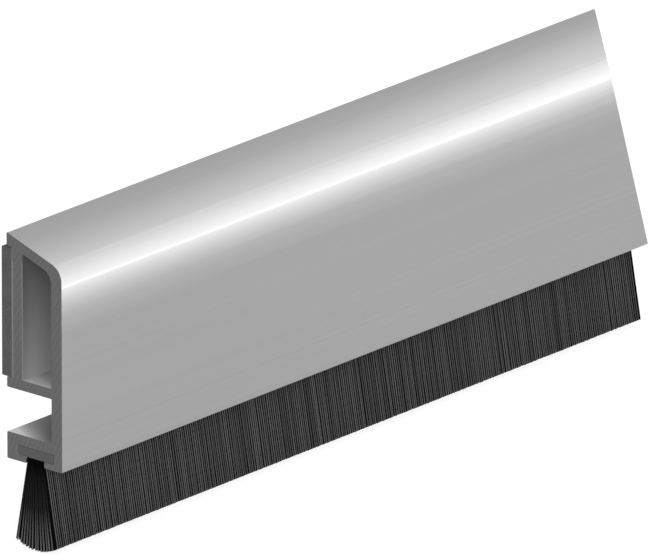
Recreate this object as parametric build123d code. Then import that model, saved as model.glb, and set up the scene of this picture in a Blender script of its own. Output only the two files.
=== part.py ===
from build123d import *
import math
import os

# Door bottom seal strip: a short length of extruded aluminium carrier with a brush along its foot.
# X runs along the strip. -Y is the front, +Y the back that is stuck to the door, and +Z is up.
# The origin is the centre of the outer face of the adhesive tape. Sizes are in millimetres.

# The strip as a whole
strip_length = 125.3
far_rake = 9.0  # how far the far end is sawn back at the top of the front face

# Aluminium section, from its foot upwards
section_depth = 10.0
holder_height = 3.9
groove_height = 6.5
chamber_floor = 1.5
chamber_back_height = 21.0
top_fall = 19.2  # degrees that the top slopes down to the front
top_wall = 1.5
front_wall = 1.9
back_wall = 1.9
crest_radius = 2.5
chamber_radius = 2.0
arris_radius = 0.15

# Tape and the recess it lies in
recess_depth = 1.0
recess_lip = 1.7
tape_thickness = 1.9
tape_edge_gap = 0.03

# T-shaped channel in the foot of the section
channel_centre = 5.1  # depth of its middle, measured from the back of the section
channel_width = 6.7
channel_height = 1.45
channel_lip = 0.9
mouth_width = 3.3

# Brush insert
backing_gap = 0.05
root_gap = 0.03
bristle_reach = 12.5  # how far the longest bristles hang below the section
bristle_spread = 10.35  # degrees that the bristles lean out on each side
bristle_crown = 1.05  # how much longer the middle bristles are than the outer ones
bristle_pitch = 0.42
bristle_relief = 0.14

# Heights above the foot of the section
groove_top = holder_height + groove_height
ledge_height = groove_top + chamber_floor
section_height = ledge_height + chamber_back_height
top_slope = math.tan(math.radians(top_fall))
front_height = section_height - section_depth * top_slope
lip_underside = section_height - recess_lip / math.cos(math.radians(top_fall))
recess_top = lip_underside - recess_depth * top_slope
channel_top = channel_lip + channel_height
backing_underside = channel_lip + backing_gap

# Tape, and the place of the section behind its outer face
tape_proud = tape_thickness - recess_depth
tape_low = ledge_height + tape_edge_gap
tape_high = recess_top - tape_edge_gap
foot_z = -(tape_low + tape_high) / 2

# Comb of bristles: half widths at the mouth, and how far its flanks drop and lean out
half_root = mouth_width / 2 - root_gap
half_flank = half_root - root_gap
half_core = half_flank - 2 * bristle_relief
flank_drop = bristle_reach - bristle_crown
flank_lean = flank_drop * math.tan(math.radians(bristle_spread))


def spot(depth, height):
    """Place of a point of the section, from its depth behind the back and its height above the foot."""
    return (-tape_proud - depth, foot_z + height)


def outline(*points):
    """Face in the section's plane with straight edges through the given (depth, height) points."""
    return make_face(Polyline(*[spot(depth, height) for depth, height in points], close=True))


def rounded(face, radius, *points):
    """The face with the corners nearest to the given (depth, height) points rounded."""
    for depth, height in points:
        corner = face.vertices().sort_by_distance(Vector(*spot(depth, height)))[0]
        face = fillet(corner, radius)
    return face


def drawn_out(face):
    """The section's face drawn along the whole strip."""
    near_end = Plane.YZ.offset(-strip_length / 2)
    return extrude(near_end * face, amount=strip_length)


def sawn(piece):
    """The piece cut by the raking saw cut that runs across the far end, from its top back corner."""
    far_x = strip_length / 2
    top_back = Vector(far_x, *spot(0, section_height))
    front_foot = Vector(far_x, *spot(section_depth, 0))
    front_top = Vector(far_x - far_rake, *spot(section_depth, front_height))
    outward = (front_top - front_foot).cross(front_foot - top_back)
    cut = Plane(origin=top_back, x_dir=front_foot - top_back, z_dir=outward)
    return split(piece, bisect_by=cut, keep=Keep.BOTTOM)


def carrier_section():
    """Section of the aluminium: chamber above, open groove behind, brush channel in the foot."""
    outer = outline(
        (0, 0),
        (section_depth, 0),
        (section_depth, front_height),
        (0, section_height),
    )
    outer = rounded(outer, crest_radius, (section_depth, front_height))
    face = outer - chamber_hollow() - rear_groove() - tape_recess() - brush_channel()
    return rounded(
        face,
        arris_radius,
        (0, 0),
        (channel_centre - mouth_width / 2, 0),
        (channel_centre + mouth_width / 2, 0),
        (section_depth, 0),
        (0, section_height),
        (0, lip_underside),
        (0, ledge_height),
        (0, groove_top),
        (0, holder_height),
    )


def chamber_hollow():
    """Closed hollow behind the front face, with its roof parallel to the sloped top."""
    back = recess_depth + back_wall
    front = section_depth - front_wall
    roof = section_height - top_wall / math.cos(math.radians(top_fall))
    front_roof = roof - front * top_slope
    hollow = outline(
        (back, ledge_height),
        (front, ledge_height),
        (front, front_roof),
        (back, roof - back * top_slope),
    )
    return rounded(hollow, chamber_radius, (front, front_roof))


def rear_groove():
    """Groove that is open to the door, between the chamber and the brush channel."""
    front = section_depth - front_wall
    return outline((0, holder_height), (front, holder_height), (front, groove_top), (0, groove_top))


def tape_recess():
    """Shallow seat for the tape: a square ledge below, a lip parallel to the top above."""
    return outline(
        (0, ledge_height),
        (recess_depth, ledge_height),
        (recess_depth, recess_top),
        (0, lip_underside),
    )


def brush_channel():
    """T-shaped channel: a wide slot for the backing and a narrow mouth for the bristles."""
    half_slot = channel_width / 2
    half_mouth = mouth_width / 2
    slot = outline(
        (channel_centre - half_slot, channel_lip),
        (channel_centre + half_slot, channel_lip),
        (channel_centre + half_slot, channel_top),
        (channel_centre - half_slot, channel_top),
    )
    mouth = outline(
        (channel_centre - half_mouth, 0),
        (channel_centre + half_mouth, 0),
        (channel_centre + half_mouth, channel_lip),
        (channel_centre - half_mouth, channel_lip),
    )
    return slot + mouth


def carrier_profile():
    return sawn(drawn_out(carrier_section()))


def adhesive_tape():
    """Foam tape that fills the recess and stands proud of the back, sawn off with the carrier."""
    face = outline(
        (-tape_proud, tape_low),
        (recess_depth, tape_low),
        (recess_depth, tape_high),
        (-tape_proud, tape_high),
    )
    return sawn(drawn_out(face))


def brush_backing():
    """Flat backing of the brush, an easy slide fit in the wide slot of the channel."""
    half_width = channel_width / 2 - backing_gap
    top = channel_top - backing_gap
    return drawn_out(
        outline(
            (channel_centre - half_width, backing_underside),
            (channel_centre + half_width, backing_underside),
            (channel_centre + half_width, top),
            (channel_centre - half_width, top),
        )
    )


def bristle_flank():
    """Front flank of the comb: a ridge for each row of bristles, drawn down along their lean."""
    rows = round(strip_length / bristle_pitch)
    step = strip_length / rows
    near_x = -strip_length / 2
    middle_y, mouth_z = spot(channel_centre, 0)
    crest_y = middle_y - half_flank
    valley_y = crest_y + bristle_relief
    ridges = [(near_x, valley_y, mouth_z)]
    for row in range(rows):
        ridges.append((near_x + (row + 0.5) * step, crest_y, mouth_z))
        ridges.append((near_x + (row + 1) * step, valley_y, mouth_z))
    middle = [(-near_x, middle_y, mouth_z), (near_x, middle_y, mouth_z)]
    plan = make_face(Polyline(*ridges, *middle, close=True))
    down_the_lean = Vector(0, -flank_lean, -flank_drop)
    return extrude(plan, amount=down_the_lean.length, dir=down_the_lean)


def bristle_core():
    """Middle of the comb: its root in the mouth, the fan below, and the arc of the tips."""
    front_tip = spot(channel_centre + half_core + flank_lean, -flank_drop)
    back_tip = spot(channel_centre - half_core - flank_lean, -flank_drop)
    sides = Polyline(
        front_tip,
        spot(channel_centre + half_core, 0),
        spot(channel_centre + half_root, 0),
        spot(channel_centre + half_root, backing_underside),
        spot(channel_centre - half_root, backing_underside),
        spot(channel_centre - half_root, 0),
        spot(channel_centre - half_core, 0),
        back_tip,
    )
    tips = ThreePointArc(back_tip, spot(channel_centre, -bristle_reach), front_tip)
    return drawn_out(make_face(sides + tips))


def bristles():
    """Comb of bristles: straight in the mouth, leaning out below it, longest in the middle."""
    front = bristle_flank()
    middle_y = spot(channel_centre, 0)[0]
    back = mirror(front, about=Plane(origin=(0, middle_y, 0), z_dir=(0, 1, 0)))
    return bristle_core() + [front, back]


pieces = {
    "carrier_profile": carrier_profile(),
    "adhesive_tape": adhesive_tape(),
    "brush_backing": brush_backing(),
    "bristles": bristles(),
}

os.makedirs("parts", exist_ok=True)
for name, piece in pieces.items():
    export_step(piece, f"parts/{name}.step")
    size = piece.bounding_box().size
    print(f"{name}: {size.X:.2f} x {size.Y:.2f} x {size.Z:.2f} mm, {piece.volume:.0f} mm3")
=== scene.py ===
# %% [markdown]
# # A door bottom seal strip
#
# The object is a short sample of a seal for the foot of a door. An aluminium carrier holds a black
# brush in a channel in its foot, and a strip of foam tape on its back sticks it to the door.
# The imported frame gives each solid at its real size, in metres, with its back towards +Y.
# This script only adds looks to it: finishes, rounded edges, and a brush made of single bristles.

# %% Load the frame
import math

import bmesh
import bpy
import numpy as np
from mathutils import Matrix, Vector


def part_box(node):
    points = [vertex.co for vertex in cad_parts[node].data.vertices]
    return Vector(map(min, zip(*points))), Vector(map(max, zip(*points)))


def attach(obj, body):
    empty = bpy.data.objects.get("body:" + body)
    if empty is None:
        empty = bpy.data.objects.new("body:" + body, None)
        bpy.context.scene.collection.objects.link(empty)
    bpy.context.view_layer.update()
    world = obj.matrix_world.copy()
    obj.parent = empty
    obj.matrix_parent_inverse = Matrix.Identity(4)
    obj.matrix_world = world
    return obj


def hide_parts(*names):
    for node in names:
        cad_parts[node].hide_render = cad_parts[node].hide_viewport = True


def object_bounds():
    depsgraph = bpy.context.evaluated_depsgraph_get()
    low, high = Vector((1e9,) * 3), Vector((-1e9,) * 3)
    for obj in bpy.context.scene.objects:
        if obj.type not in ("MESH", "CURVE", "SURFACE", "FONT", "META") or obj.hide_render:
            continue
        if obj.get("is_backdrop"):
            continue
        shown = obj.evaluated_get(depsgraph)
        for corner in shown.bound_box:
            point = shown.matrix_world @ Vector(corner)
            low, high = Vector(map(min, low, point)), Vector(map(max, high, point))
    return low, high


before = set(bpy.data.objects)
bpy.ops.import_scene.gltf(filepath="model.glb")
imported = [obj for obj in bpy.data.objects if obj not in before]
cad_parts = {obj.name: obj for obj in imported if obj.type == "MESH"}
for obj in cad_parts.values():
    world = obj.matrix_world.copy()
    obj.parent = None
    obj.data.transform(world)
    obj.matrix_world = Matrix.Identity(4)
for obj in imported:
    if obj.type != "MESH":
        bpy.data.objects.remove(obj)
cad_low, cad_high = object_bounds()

mm = 0.001
print("nodes:", ", ".join(sorted(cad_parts)))
print("size in mm:", [round(side / mm, 1) for side in cad_high - cad_low])

# %% [markdown]
# ## The camera
#
# The picture of the strip is drawn without perspective: its long edges stay parallel. A very long
# lens from far away gives nearly the same look. An orthographic camera would do it exactly, but its
# width is fixed, and other views of a long object would then be cropped.

# %% Camera at the picture's angle
sensor_width = 36.0
lens_length = 1430.0
view_turn = math.radians(-49.41)
view_height = math.radians(19.41)
view_centre = Vector((-0.63, -5.72, -10.71)) * mm
view_width = 91.02 * mm

towards_camera = Vector((
    math.sin(view_turn) * math.cos(view_height),
    -math.cos(view_turn) * math.cos(view_height),
    math.sin(view_height),
))
camera_distance = view_width * lens_length / sensor_width
camera = bpy.data.objects.new("camera", bpy.data.cameras.new("camera"))
camera.data.sensor_width = sensor_width
camera.data.lens = lens_length
camera.data.clip_start = 0.1
camera.data.clip_end = 3 * camera_distance
camera.location = view_centre + towards_camera * camera_distance
camera.rotation_mode = "QUATERNION"
camera.rotation_quaternion = towards_camera.to_track_quat("Z", "Y")
bpy.context.scene.collection.objects.link(camera)
bpy.context.scene.camera = camera
bpy.context.scene.view_settings.view_transform = "Standard"
print(f"camera {camera_distance:.2f} m away")

# %% [markdown]
# ## Nodes without a window
#
# A finish is a small network of nodes. In the shader editor each node is added by hand and wired
# with the mouse. In a script one helper does both: it adds a node, sets its options, and fills each
# socket either with a value or with a wire from another node.

# %% Helpers for node networks
def add(tree, kind, sockets=None, **options):
    """Adds a node. Each socket gets a value, or a wire where it is given another node's output."""
    made = tree.nodes.new("ShaderNode" + kind)
    for option, value in options.items():
        setattr(made, option, value)
    for socket, value in (sockets or {}).items():
        if isinstance(value, bpy.types.NodeSocket):
            tree.links.new(value, made.inputs[socket])
        else:
            made.inputs[socket].default_value = value
    return made


def maths(tree, operation, first, second=0.0, third=0.0):
    """The result of one Math node."""
    sockets = {0: first, 1: second, 2: third}
    return add(tree, "Math", sockets, operation=operation).outputs[0]


def spread(tree, value, low, high, from_low=0.0, from_high=1.0):
    """The value stretched from one range to another, and held inside it."""
    sockets = {0: value, 1: from_low, 2: from_high, 3: low, 4: high}
    return add(tree, "MapRange", sockets).outputs[0]


def mixed(tree, factor, low, high):
    """Low where the factor is 0, high where it is 1."""
    return add(tree, "Mix", {0: factor, 2: low, 3: high}).outputs[0]


def new_finish(name):
    """A new material, its node tree and its Principled shader."""
    finish = bpy.data.materials.new(name)
    finish.use_nodes = True
    tree = finish.node_tree
    return finish, tree, tree.nodes["Principled BSDF"]


# %% [markdown]
# ## Floor
#
# The strip stands on the tips of its bristles, as it does under a door, on a plain pale floor.
# To the camera, and in the metal's reflections, the floor is white. A part of that white comes from
# the lamps, so the floor still takes a soft shadow. All other light sees an ordinary pale floor.

# %% White floor that keeps a shadow
floor_span = 8.0
floor_glow = 0.88
floor_lit_share = 0.3
floor_grey = 0.75


def seen_directly(tree):
    """1 for what the camera sees, straight, in a reflection or through glass, 0 for other light."""
    path = add(tree, "LightPath")
    seen = maths(tree, "MAXIMUM", path.outputs["Is Camera Ray"], path.outputs["Is Glossy Ray"])
    return maths(tree, "MAXIMUM", seen, path.outputs["Is Transmission Ray"])


bpy.ops.object.select_all(action="DESELECT")
bpy.ops.mesh.primitive_plane_add(size=floor_span, location=(0, 0, cad_low.z - 0.01 * mm))
floor = bpy.context.object
floor.name = "floor"
floor_finish, tree, shader = new_finish("pale_floor")
lit = add(tree, "BsdfDiffuse", {"Color": (floor_lit_share,) * 3 + (1,)})
glow = add(tree, "Emission", {"Strength": floor_glow})
bright = add(tree, "AddShader", {0: lit.outputs[0], 1: glow.outputs[0]})
plain = add(tree, "BsdfDiffuse", {"Color": (floor_grey,) * 3 + (1,)})
chosen = add(tree, "MixShader", {0: seen_directly(tree), 1: plain.outputs[0], 2: bright.outputs[0]})
tree.links.new(chosen.outputs[0], tree.nodes["Material Output"].inputs["Surface"])
tree.nodes.remove(shader)
floor.data.materials.append(floor_finish)
floor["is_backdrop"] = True
print(f"floor at z = {floor.location.z / mm:.2f} mm")

# %% [markdown]
# ## World
#
# The world stands for the walls of the studio. It lights everything a little from all sides, and
# where it is seen it is white, so that it runs on from the floor without an edge. A picture of a
# real studio would give richer reflections, but one even tone shows the finishes as they are.

# %% White world
world_light = 0.45

world = bpy.data.worlds.new("studio")
world.use_nodes = True
bpy.context.scene.world = world
tree = world.node_tree
background = tree.nodes["Background"]
background.inputs["Color"].default_value = (1, 1, 1, 1)
tree.links.new(mixed(tree, seen_directly(tree), world_light, 1.0), background.inputs["Strength"])
print(f"world light {world_light}, white where it is seen")

# %% [markdown]
# ## Soft panels
#
# The long white line on the crest of the carrier is the reflection of a light. A low, wide panel on
# the right in front of the strip gives it, and a dimmer one above it lets the line fade slowly
# towards the back. A third panel, near the camera, lights the sawn end, the tape and the brush. It
# is left out of reflections, because it would put a second line on the metal. All three are out of
# the camera's sight.

# %% Lamps
def panel(name, turn, height, distance, width, tall, brightness):
    """A soft panel that faces the strip. Turn and height are degrees, as for the camera."""
    turn, height = math.radians(turn), math.radians(height)
    outwards = Vector((
        math.sin(turn) * math.cos(height),
        -math.cos(turn) * math.cos(height),
        math.sin(height),
    ))
    lamp = bpy.data.objects.new(name, bpy.data.lights.new(name, "AREA"))
    lamp.data.shape = "RECTANGLE"
    lamp.data.size = width
    lamp.data.size_y = tall
    lamp.data.energy = brightness * math.pi * width * tall
    lamp.location = outwards * distance
    lamp.rotation_mode = "QUATERNION"
    lamp.rotation_quaternion = outwards.to_track_quat("Z", "Y")
    lamp.visible_camera = False
    bpy.context.scene.collection.objects.link(lamp)
    return lamp


panel("low_panel", turn=46, height=7, distance=1.2, width=0.9, tall=0.34, brightness=3.5)
panel("middle_panel", turn=62, height=33, distance=1.2, width=0.9, tall=0.52, brightness=1.3)
front = panel("front_panel", turn=-45, height=16, distance=1.2, width=1.0, tall=0.52, brightness=3.8)
front.visible_glossy = False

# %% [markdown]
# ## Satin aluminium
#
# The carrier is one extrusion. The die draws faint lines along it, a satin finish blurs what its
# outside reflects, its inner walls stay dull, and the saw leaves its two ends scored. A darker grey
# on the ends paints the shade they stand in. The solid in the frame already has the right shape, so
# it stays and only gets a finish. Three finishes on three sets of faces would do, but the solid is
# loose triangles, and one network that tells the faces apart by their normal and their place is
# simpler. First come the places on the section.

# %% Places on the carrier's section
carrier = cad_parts["carrier_profile"]
carrier_low, carrier_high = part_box("carrier_profile")
top_fall = math.radians(19.2)
crest_radius = 2.5 * mm
crest_centre_z = 6.315 * mm
recess_depth = 1.0 * mm
back_wall = 1.9 * mm
crest_middle = (math.pi / 2 + top_fall) / 2
top_normal = Vector((0, -math.sin(top_fall), math.cos(top_fall)))
crest_normal = Vector((0, -math.sin(crest_middle), math.cos(crest_middle)))
crest_run = Vector((0, -math.cos(crest_middle), -math.sin(crest_middle)))
crest_centre = Vector((0, carrier_low.y + crest_radius, crest_centre_z))
section_top = top_normal.dot(crest_centre) + crest_radius
recess_wall_y = carrier_high.y - recess_depth
chamber_back_y = recess_wall_y - back_wall
chamber_floor_z = -9.42 * mm
chamber_roof_z = 7.6 * mm
print("crest in mm:", [round(value / mm, 2) for value in crest_centre + crest_normal * crest_radius])

# %% [markdown]
# Each test below is 1 on the faces it names and 0 elsewhere. The sawn ends are the only faces whose
# normal leans far along the strip. The level ledges look straight up or down. All other inner walls
# lie deeper than a thin skin behind the outside.

# %% Which face is which
skin_depth = 0.7 * mm
back_skin_depth = 1.2 * mm
chamber_floor_half = 0.6 * mm

finish, tree, shader = new_finish("satin_aluminium_finish")
where = add(tree, "TexCoord").outputs["Object"]
normal = add(tree, "NewGeometry").outputs["Normal"]


def along(direction, vector=where):
    """How far the point lies along a direction."""
    return add(tree, "VectorMath", {0: vector, 1: direction}, operation="DOT_PRODUCT").outputs["Value"]


def facing(direction, least):
    """1 on faces that look along the direction or straight against it."""
    return maths(tree, "GREATER_THAN", maths(tree, "ABSOLUTE", along(direction, normal)), least)


def inner_faces():
    """1 on the ledges and the walls of the chamber and the groove, 0 on the outside and the recess."""
    before_back = maths(tree, "SUBTRACT", carrier_high.y - back_skin_depth, along((0, 1, 0)))
    above_foot = maths(tree, "SUBTRACT", along((0, 0, 1)), carrier_low.z + skin_depth)
    behind_skin = maths(tree, "SUBTRACT", below_skin, skin_depth)
    deep = maths(tree, "MINIMUM", behind_skin, maths(tree, "MINIMUM", before_back, above_foot))
    return maths(tree, "MAXIMUM", level, maths(tree, "GREATER_THAN", deep, 0.0))


below_top = maths(tree, "SUBTRACT", section_top, along(top_normal))
below_skin = maths(tree, "MINIMUM", below_top, maths(tree, "SUBTRACT", along((0, 1, 0)), carrier_low.y))
from_end = maths(tree, "SUBTRACT", carrier_high.x, maths(tree, "ABSOLUTE", along((1, 0, 0))))
end = facing((1, 0, 0), 0.4)
level = facing((0, 0, 1), 0.97)
in_chamber = maths(tree, "GREATER_THAN", along((0, 0, 1)), chamber_floor_z - chamber_floor_half)
inner = inner_faces()
print("nodes that tell the faces apart:", len(tree.nodes))

# %% [markdown]
# The highlight in the picture fades over a much wider band than the crest is round, though the
# section beside the crest is straight. The drawing seems to blend its normals there. A swelled skin
# would change the section, so the mesh stays as it is and only the shading normal leans. Sums on the
# distance across the crest give the turn that a swell with two soft arrises would have, and a
# Vector Rotate node turns the mesh's own normal about the strip's length to that turn.

# %% Normal that leans beside the crest
swell_radius = 25 * mm
swell_above = 11.4 * mm
swell_below = 8.2 * mm
upper_arris = (-1.3 * mm, -0.5 * mm)
lower_arris = (1.8 * mm, 2.2 * mm)
upper_turn = math.radians(18)
least_outward = 0.8


def swelled_turn(across):
    """How far the normal of the swell has turned from the top's, in radians."""
    swell_turn = (swell_above + swell_below) / swell_radius
    lower_turn = math.pi / 2 - top_fall - swell_turn - upper_turn
    swell = spread(tree, across, 0.0, swell_turn, -swell_above, swell_below)
    upper = spread(tree, across, 0.0, upper_turn, *upper_arris)
    lower = spread(tree, across, 0.0, lower_turn, *lower_arris)
    return maths(tree, "ADD", swell, maths(tree, "ADD", upper, lower))


def real_turn():
    """How far the mesh's own normal has turned from the top's, in radians."""
    turned = maths(tree, "ARCTAN2", along((0, -1, 0), normal), along((0, 0, 1), normal))
    return maths(tree, "SUBTRACT", turned, top_fall)


def outer_skin():
    """1 on the top, the crest and the front, 0 on all other faces."""
    outward = maths(tree, "GREATER_THAN", along(crest_normal, normal), least_outward)
    on_skin = maths(tree, "MULTIPLY", outward, maths(tree, "LESS_THAN", below_skin, skin_depth))
    return maths(tree, "MAXIMUM", maths(tree, "SUBTRACT", on_skin, end), 0.0)


def leaning_normal():
    """The surface normal, leaned on the outer skin as if it were swelled beside the crest."""
    across = maths(tree, "SUBTRACT", along(crest_run), crest_run.dot(crest_centre))
    lean = maths(tree, "SUBTRACT", swelled_turn(across), real_turn())
    sockets = {"Vector": normal, "Angle": maths(tree, "MULTIPLY", lean, outer_skin())}
    return add(tree, "VectorRotate", sockets, rotation_type="X_AXIS").outputs[0]


leaned = leaning_normal()
print(f"the skin leans from {swell_above / mm} mm above the crest to {swell_below / mm} mm below it")

# %% [markdown]
# The inner walls keep the dull skin of the die, with none of the outside's polish. Light alone would
# shade them, but a chamber as narrow as this one then stays almost black. So their grey carries
# painted shade and light: it rises from the front to the back, in the chamber also from the roof to
# the floor, and on the floor of the groove towards the sawn ends. The walls that face the door are
# one even grey.

# %% Painted shade of the inner walls
inner_lightest = 0.85
door_side_grey = 0.5
groove_light = 0.16
end_light = 1.4
end_light_reach = 2.4 * mm


def chamber_painted_shade(painted_back_light):
    """Painted shade in the chamber: walls lighter inside and low down, its floor lighter near the ends.
    """
    by_height = spread(tree, along((0, 0, 1)), 0.96, 0.39, chamber_floor_z, 6 * mm)
    upright = maths(tree, "MULTIPLY", by_height, spread(tree, from_end, 0.55, 1.3, 0.0, 6 * mm))
    underfoot = spread(tree, from_end, inner_lightest, 0.45, 0.0, 7 * mm)
    return mixed(tree, level, maths(tree, "MULTIPLY", painted_back_light, upright), underfoot)


def inner_wall_painted_shade():
    """Grey of all the inner walls, with painted shade that darkens towards the front."""
    painted_back_light = spread(tree, along((0, 1, 0)), 0.2, 1.0, carrier_low.y, carrier_high.y)
    # Painted light on the groove, strongest at the sawn ends.
    fading = maths(tree, "EXPONENT", maths(tree, "DIVIDE", from_end, -end_light_reach))
    painted_end_light = maths(tree, "MULTIPLY_ADD", fading, end_light, groove_light)
    groove = maths(tree, "MULTIPLY", maths(tree, "POWER", painted_back_light, 2.0), painted_end_light)
    grey = mixed(tree, in_chamber, groove, chamber_painted_shade(maths(tree, "POWER", painted_back_light, 1.7)))
    facing_door = spread(tree, along((0, 1, 0), normal), 0.0, 1.0, 0.3, 0.9)
    return maths(tree, "MINIMUM", mixed(tree, facing_door, grey, door_side_grey), inner_lightest)


# The grey of the inner walls, with its painted shade and light.
walls = inner_wall_painted_shade()
print(f"inner walls up to a grey of {inner_lightest}")

# %% [markdown]
# Two patterns give the metal its grain. Noise stretched a few hundred times along the strip makes
# the lines of the die. Rings about a far point make the shallow arcs of a large round saw blade
# across the ends. On two upright arrises there, a lighter grey paints the highlight that they catch.

# %% Lines of the die and the saw
# The lighter grey of these arrises is a painted highlight.
arris_highlight_width = 0.15 * mm
arris_highlight_grey = 0.24


def drawn_lines():
    """Faint lines along the strip, from 0 to 1, fine across and very long."""
    stretched = add(tree, "Mapping", {"Vector": where, "Scale": (6, 2600, 2600)}).outputs[0]
    return add(tree, "TexNoise", {"Vector": stretched, "Scale": 1.0, "Detail": 4.0}).outputs[0]


def saw_lines():
    """Shallow arcs that a large round blade leaves across the ends, from 0 to 1."""
    turned = add(tree, "Mapping", {"Vector": where, "Location": (0, 0.11, 0.06)}).outputs[0]
    sockets = {"Vector": turned, "Scale": 420.0, "Distortion": 1.5, "Detail": 3.0, "Detail Scale": 2.0}
    return add(tree, "TexWave", sockets, wave_type="RINGS", rings_direction="X").outputs[0]


def within(value, low, high):
    """1 where the value lies between the two."""
    return maths(tree, "COMPARE", value, (low + high) / 2, (high - low) / 2)


def arris_highlight():
    """1 on the arris of the recess and on the back arris of the chamber, which get a painted highlight.
    """
    depth = along((0, 1, 0))
    recess = within(depth, recess_wall_y - arris_highlight_width, recess_wall_y)
    chamber = within(depth, chamber_back_y, chamber_back_y + arris_highlight_width)
    upright = within(along((0, 0, 1)), chamber_floor_z, chamber_roof_z)
    return maths(tree, "MULTIPLY", maths(tree, "MAXIMUM", recess, chamber), upright)


lines = drawn_lines()
scores = saw_lines()
print(f"burr {arris_highlight_width / mm} mm wide")

# %% [markdown]
# Everything comes together on one shader. Its outside and its ends are bare metal. Its inner walls
# are mostly a dull skin, because a mirror there would only show the dark inside.

# %% Satin aluminium finish
outer_grey = spread(tree, lines, 0.33, 0.345, 0.3, 0.7)
# The ends' darker grey is painted shade, with the saw's scores in it.
end_grey_painted_shade = mixed(tree, arris_highlight(), spread(tree, scores, 0.13, 0.162), arris_highlight_grey)
grey = mixed(tree, end, mixed(tree, inner, outer_grey, walls), end_grey_painted_shade)
tree.links.new(grey, shader.inputs["Base Color"])

outer_rough = spread(tree, lines, 0.31, 0.37, 0.3, 0.7)
end_rough = spread(tree, scores, 0.5, 0.6)
rough = mixed(tree, end, mixed(tree, inner, outer_rough, 0.6), end_rough)
tree.links.new(rough, shader.inputs["Roughness"])

inner_metal = mixed(tree, in_chamber, 0.4, 0.2)
metal = mixed(tree, end, mixed(tree, inner, 1.0, inner_metal), 1.0)
tree.links.new(metal, shader.inputs["Metallic"])
shader.inputs["Specular IOR Level"].default_value = 0.1

relief = mixed(tree, end, maths(tree, "MULTIPLY", lines, 0.0003), maths(tree, "MULTIPLY", scores, 0.012))
bump = add(tree, "Bump", {"Height": relief, "Distance": mm, "Normal": leaned})
tree.links.new(bump.outputs[0], shader.inputs["Normal"])
carrier.data.materials[0] = finish
print("aluminium nodes:", len(tree.nodes))

# %% [markdown]
# ## Modelling by operators
#
# The next pieces are modelled as by hand. Everything is deselected, a primitive is added at its size
# and place, and its faces or edges are picked by where they lie. The far end of the carrier and of
# its tape was sawn off on a rake, and a bisect along that plane makes the same cut.

# %% Helpers for edit mode
def start_cube(name, low, high):
    """A cube of that box, alone in the selection, in edit mode with nothing selected."""
    bpy.ops.object.select_all(action="DESELECT")
    bpy.ops.mesh.primitive_cube_add(size=1, location=(low + high) / 2)
    piece = bpy.context.object
    piece.name = piece.data.name = name
    piece.scale = high - low
    bpy.ops.object.transform_apply(location=True, rotation=True, scale=True)
    bpy.ops.object.mode_set(mode="EDIT")
    bpy.ops.mesh.select_all(action="DESELECT")
    return piece


def pick_long_edges(piece):
    """Selects the edges that run along the strip. Returns how many."""
    bpy.ops.mesh.select_mode(type="EDGE")
    shape = bmesh.from_edit_mesh(piece.data)
    for edge in shape.edges:
        run = edge.verts[1].co - edge.verts[0].co
        edge.select = abs(run.normalized().x) > 0.99
    bmesh.update_edit_mesh(piece.data)
    return sum(edge.select for edge in shape.edges)


def finish_piece(piece, node, material):
    """Leaves edit mode, gives the piece its material in a slot and its body, and hides the node it stands
    for.
    """
    bpy.ops.object.mode_set(mode="OBJECT")
    piece.data.materials.clear()
    piece.data.materials.append(material)
    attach(piece, "root")
    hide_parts(node)
    print(f"{piece.name}: {len(piece.data.polygons)} faces")


# %% [markdown]
# Three corners of the raked end give its plane: the top back corner and the foot of the front lie at
# the full length, and the top of the front is sawn back.

# %% Plane of the rake
far_rake = 9.0 * mm
back_top = (section_top + math.sin(top_fall) * carrier_high.y) / math.cos(top_fall)
front_top = (section_top + math.sin(top_fall) * carrier_low.y) / math.cos(top_fall)
rake_corner = Vector((carrier_high.x, carrier_high.y, back_top))
rake_foot = Vector((carrier_high.x, carrier_low.y, carrier_low.z))
rake_front = Vector((carrier_high.x - far_rake, carrier_low.y, front_top))
rake_normal = (rake_front - rake_foot).cross(rake_foot - rake_corner).normalized()
print("rake plane faces", [round(value, 3) for value in rake_normal])

# %% [markdown]
# ## Foam tape
#
# The tape is closed-cell foam, slit from a wide roll. Its long edges are a little soft, its faces
# show fine pores, and its adhesive is a thin, paler film against the metal. A slab is cut along the
# rake and its long edges are bevelled. The pores could be displaced in the mesh, but they are far
# finer than any mesh worth its weight, so they are bump, and a painted shade in the colour that
# darkens their hollows.

# %% Tape piece
film_thickness = 0.14 * mm
film_grey = 0.2
tape_softness = 0.16 * mm

tape_low, tape_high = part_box("adhesive_tape")
tape = start_cube("foam_tape", tape_low, tape_high)
bpy.ops.mesh.select_all(action="SELECT")
bpy.ops.mesh.bisect(plane_co=rake_corner, plane_no=rake_normal, clear_outer=True, use_fill=True)
picked = pick_long_edges(tape)
bpy.ops.mesh.bevel(offset=tape_softness, segments=3, affect="EDGES")
print("long edges rounded:", picked)

foam, tree, shader = new_finish("grey_foam_finish")
where = add(tree, "TexCoord").outputs["Object"]
pores = add(tree, "TexVoronoi", {"Vector": where, "Scale": 3600.0}).outputs["Distance"]
clouds = add(tree, "TexNoise", {"Vector": where, "Scale": 700.0, "Detail": 4.0}).outputs[0]
pits = spread(tree, pores, 0.0, 1.0, 0.1, 0.55)
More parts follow.
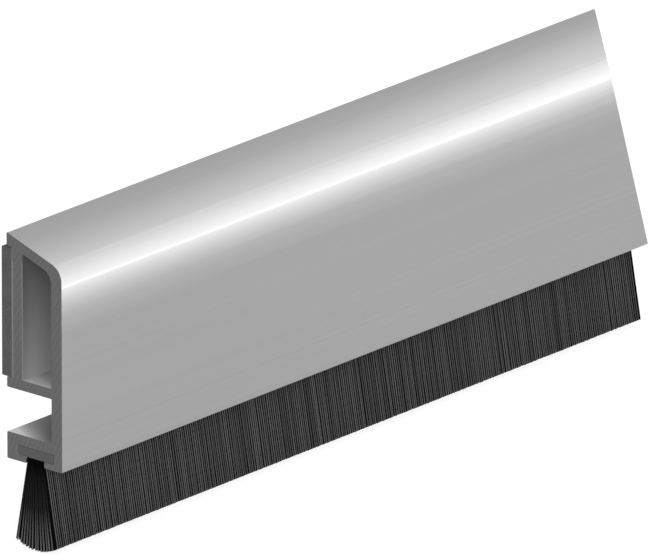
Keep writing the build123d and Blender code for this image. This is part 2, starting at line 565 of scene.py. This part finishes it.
# The hollows of the pores are darker: painted shade.
grey = maths(tree, "MULTIPLY", spread(tree, clouds, 0.09, 0.122, 0.3, 0.7), spread(tree, pits, 0.7, 1.05))
depth = add(tree, "SeparateXYZ", {0: where}).outputs["Y"]
film = maths(tree, "LESS_THAN", depth, tape_low.y + film_thickness)
tree.links.new(mixed(tree, film, grey, film_grey), shader.inputs["Base Color"])
tree.links.new(spread(tree, clouds, 0.8, 0.95, 0.3, 0.7), shader.inputs["Roughness"])
relief = maths(tree, "ADD", maths(tree, "MULTIPLY", pits, 0.03), maths(tree, "MULTIPLY", clouds, 0.05))
bump = add(tree, "Bump", {"Height": relief, "Distance": mm})
tree.links.new(bump.outputs[0], shader.inputs["Normal"])
finish_piece(tape, "adhesive_tape", foam)

# %% [markdown]
# ## Backing of the brush
#
# The bristles are welded into a flat plastic strip that slides into the channel, and only its ends
# show. A curve with a flat section would make it too, but a slab is quicker. The nozzle that it was
# extruded through rounds its long edges, so these are bevelled.

# %% Backing piece
nozzle_round = 0.2 * mm

backing_low, backing_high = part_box("brush_backing")
backing = start_cube("backing_strip", backing_low, backing_high)
picked = pick_long_edges(backing)
bpy.ops.mesh.bevel(offset=nozzle_round, segments=3, affect="EDGES")
print("long edges rounded:", picked)

plastic, tree, shader = new_finish("backing_plastic_finish")
where = add(tree, "TexCoord").outputs["Object"]
grain = add(tree, "TexNoise", {"Vector": where, "Scale": 2500.0, "Detail": 3.0}).outputs[0]
tree.links.new(spread(tree, grain, 0.07, 0.092, 0.3, 0.7), shader.inputs["Base Color"])
tree.links.new(spread(tree, grain, 0.45, 0.6, 0.3, 0.7), shader.inputs["Roughness"])
bump = add(tree, "Bump", {"Height": maths(tree, "MULTIPLY", grain, 0.01), "Distance": mm})
tree.links.new(bump.outputs[0], shader.inputs["Normal"])
finish_piece(backing, "brush_backing", plastic)

# %% [markdown]
# ## One bristle
#
# The brush is several thousand nylon filaments. Hair particles would draw them fast, but they are no
# mesh, and the exported model needs one. So one filament is modelled as a thin six-sided rod with a
# worn, narrowed tip, and everything else is made from copies of it. Two clean cuts round it give it
# points at the channel's mouth, where it leans out, and further down, where its colour changes.

# %% Filament
bristle_low, bristle_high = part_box("bristles")
filament_radius = 0.11 * mm
tip_round = 0.05 * mm
tip_width = 0.6
colour_change = 0.55
rest_length = bristle_high.z - bristle_low.z
mouth = carrier_low.z - bristle_high.z

bpy.ops.object.select_all(action="DESELECT")
bpy.ops.mesh.primitive_cylinder_add(
    vertices=6,
    radius=filament_radius,
    depth=rest_length - tip_round,
    location=(0, 0, -(rest_length - tip_round) / 2),
)
filament = bpy.context.object
filament.name = "filament"
bpy.ops.object.transform_apply(location=True, rotation=True, scale=True)
bpy.ops.object.mode_set(mode="EDIT")
for height in (mouth, -colour_change * rest_length):
    bpy.ops.mesh.select_all(action="SELECT")
    bpy.ops.mesh.bisect(plane_co=(0, 0, height), plane_no=(0, 0, 1))
bpy.ops.mesh.select_all(action="DESELECT")
bpy.ops.mesh.select_mode(type="FACE")
shape = bmesh.from_edit_mesh(filament.data)
for face in shape.faces:
    face.select = face.normal.z < -0.9
bmesh.update_edit_mesh(filament.data)
bpy.ops.mesh.extrude_region_move(TRANSFORM_OT_translate={"value": (0, 0, -tip_round)})
bpy.ops.transform.resize(value=(tip_width, tip_width, 1))
bpy.ops.object.mode_set(mode="OBJECT")
bpy.ops.object.shade_smooth_by_angle(angle=math.radians(65))
corners = len(filament.data.vertices)
print(f"filament: {corners} points, {len(filament.data.polygons)} faces")

# %% [markdown]
# ## Rows of bristles
#
# Across the brush the filaments stand in twenty-eight rows, straight in the mouth of the channel and
# fanned out below it. One copy of the filament is made for each row, and an Array modifier repeats
# it along the strip. Each end gets a few more, set between the others, so that no light shows
# through the last ones.

# %% Copies along the strip
rows_across = 28
outer_rows = (0, rows_across - 1)
bristle_pitch = 0.42 * mm
strip_length = bristle_high.x - bristle_low.x
columns = round(strip_length / bristle_pitch)
end_fill = np.arange(4) + 0.5
column_places = np.concatenate([np.arange(columns), end_fill, columns - 1 - end_fill])
row_count = len(column_places)


def repeated_filament(row, step):
    """A copy of the filament with a mesh of its own, repeated along the strip."""
    copy = filament.copy()
    copy.data = filament.data.copy()
    copy.name = f"bristle_row_{row + 1}"
    bpy.context.scene.collection.objects.link(copy)
    bpy.ops.object.select_all(action="DESELECT")
    copy.select_set(True)
    bpy.context.view_layer.objects.active = copy
    repeat = copy.modifiers.new("along the strip", "ARRAY")
    repeat.count = row_count
    repeat.use_relative_offset = False
    repeat.use_constant_offset = True
    repeat.constant_offset_displace = (step, 0, 0)
    bpy.ops.object.modifier_apply(modifier=repeat.name)
    return copy


print(f"{columns} bristles in a row, and {row_count - columns} more at its ends")

# %% [markdown]
# A comb that is perfectly even looks drawn by a machine, and its rows line up into slits. So each
# inner row starts and stops at its own small distance from the ends, and each bristle gets its own
# small lean, length and place from a seeded random draw. Geometry Nodes could do all this too, but
# plain sums on the points are easier to follow, and give the same mesh each time. The bristles of the
# middle rows reach lowest, and those of the outer rows lean out furthest.

# %% Fanning a row out
draw = np.random.default_rng(7)
half_spread = (bristle_high.y - bristle_low.y) / 2
tip_spread = half_spread - filament_radius
root_spread = 1.62 * mm - filament_radius
crown = 1.05 * mm
crown_radius = (half_spread**2 + crown**2) / (2 * crown)
middle_y = (bristle_low.y + bristle_high.y) / 2
outer_width = 0.68
uneven_length = 0.025 * mm
root_sway = (0.01 * mm, 0.02 * mm)
tip_sway = (0.014 * mm, 0.03 * mm)


def jitter(amount):
    """A small random distance for each bristle of a row."""
    return draw.normal(0, amount, row_count)[:, None]


def fan_out(points, row, step):
    """Moves the points of a row to their columns, and leans each bristle out below the mouth."""
    place = 2 * row / (rows_across - 1) - 1
    x, y, z = (points[:, :, axis] for axis in range(3))
    x -= np.arange(row_count)[:, None] * step
    if row in outer_rows:
        x *= outer_width
    x += column_places[:, None] * step
    down = np.clip((z - mouth) / (-rest_length - mouth), 0, 1)
    shorter = crown_radius - math.sqrt(crown_radius**2 - (place * tip_spread) ** 2)
    z += down * (shorter + np.abs(jitter(uneven_length)))
    y += place * root_spread + (place * (tip_spread - root_spread) + jitter(tip_sway[1])) * down
    x += jitter(tip_sway[0]) * down + jitter(root_sway[0])
    y += jitter(root_sway[1])
    return down


print(f"bristles fan out from {2 * root_spread / mm:.2f} to {2 * tip_spread / mm:.2f} mm")

# %% [markdown]
# The outside of a black brush catches the light, and its inside stays almost black. Each bristle gets
# a tint of painted light and shade, which the finish reads as an attribute: light in the two outer
# rows, next to none inside, and rising from a painted shade at the root towards the tip on the
# outermost bristle of each inner row, which shows at the ends.

# %% Rows
inner_rows_painted_shade = (0.0, 0.008)
outer_rows_painted_light = (0.47, 0.82)
end_bristle_painted_light = (0.8, 1.0)
short_by = (0.1 * mm, 0.35 * mm)


def painted_light_of_row(row, down):
    """Painted light and shade for each point of a row, from 0, black, to 1, the lightest."""
    shade = np.repeat(draw.uniform(*inner_rows_painted_shade, row_count)[:, None], corners, axis=1)
    if row in outer_rows:
        shade[1 : columns - 1] = draw.uniform(*outer_rows_painted_light, columns - 2)[:, None]
    else:
        outermost = columns - 1 if row % 2 else 0
        shade[outermost] = down[0] ** 3 * draw.uniform(*end_bristle_painted_light)
    return shade


def bristle_row(row):
    """One row along the strip. Inner rows stop short of one end, by turns the near and the far one."""
    short_near = row % 2 and row not in outer_rows
    short_far = not row % 2 and row not in outer_rows
    near_gap = filament_radius + short_near * draw.uniform(*short_by)
    far_gap = filament_radius + short_far * draw.uniform(*short_by)
    step = (strip_length - near_gap - far_gap) / (columns - 1)
    copy = repeated_filament(row, step)
    points = np.empty(row_count * corners * 3)
    copy.data.vertices.foreach_get("co", points)
    points = points.reshape(row_count, corners, 3)
    down = fan_out(points, row, step)
    points += np.array([bristle_low.x + near_gap, middle_y, bristle_high.z])
    inside = np.clip(points, np.array(bristle_low), np.array(bristle_high))
    copy.data.vertices.foreach_set("co", inside.ravel())
    painted_light = copy.data.attributes.new("painted_light", "FLOAT", "POINT")
    painted_light.data.foreach_set("value", painted_light_of_row(row, down).ravel())
    copy.data.update()
    return copy


rows = [bristle_row(row) for row in range(rows_across)]
print(f"{rows_across} rows, {rows_across * row_count} bristles")

# %% [markdown]
# ## Black nylon
#
# Nylon has a soft sheen that varies a little where it is worn. The rows are joined into a few
# pieces, so that none of them grows too heavy.

# %% Bristle finish and pieces
nylon, tree, shader = new_finish("black_bristle_finish")
painted_light = add(tree, "Attribute", attribute_name="painted_light").outputs["Fac"]
where = add(tree, "TexCoord").outputs["Object"]
wear = add(tree, "TexNoise", {"Vector": where, "Scale": 900.0, "Detail": 2.0}).outputs[0]
# The base colour carries each bristle's painted light and shade.
tree.links.new(spread(tree, painted_light, 0.0005, 0.2), shader.inputs["Base Color"])
tree.links.new(spread(tree, wear, 0.26, 0.42, 0.3, 0.7), shader.inputs["Roughness"])
shader.inputs["Specular IOR Level"].default_value = 0.02

rows_per_piece = 7
for first in range(0, rows_across, rows_per_piece):
    bpy.ops.object.select_all(action="DESELECT")
    group = rows[first : first + rows_per_piece]
    for row in group:
        row.select_set(True)
    bpy.context.view_layer.objects.active = group[0]
    bpy.ops.object.join()
    piece = bpy.context.object
    piece.name = piece.data.name = f"bristles_{first // rows_per_piece + 1}"
    finish_piece(piece, "bristles", nylon)
bpy.data.objects.remove(filament)

# %% [markdown]
# ## Sizes and the end
#
# The dressed object must stay inside the box of the solids. How far it grows past that box is
# printed.

# %% Print how far the sizes grew
new_low, new_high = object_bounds()
grown = (*(cad_low - new_low), *(new_high - cad_high))
print("grown by, in mm:", [round(value / mm, 3) for value in grown])
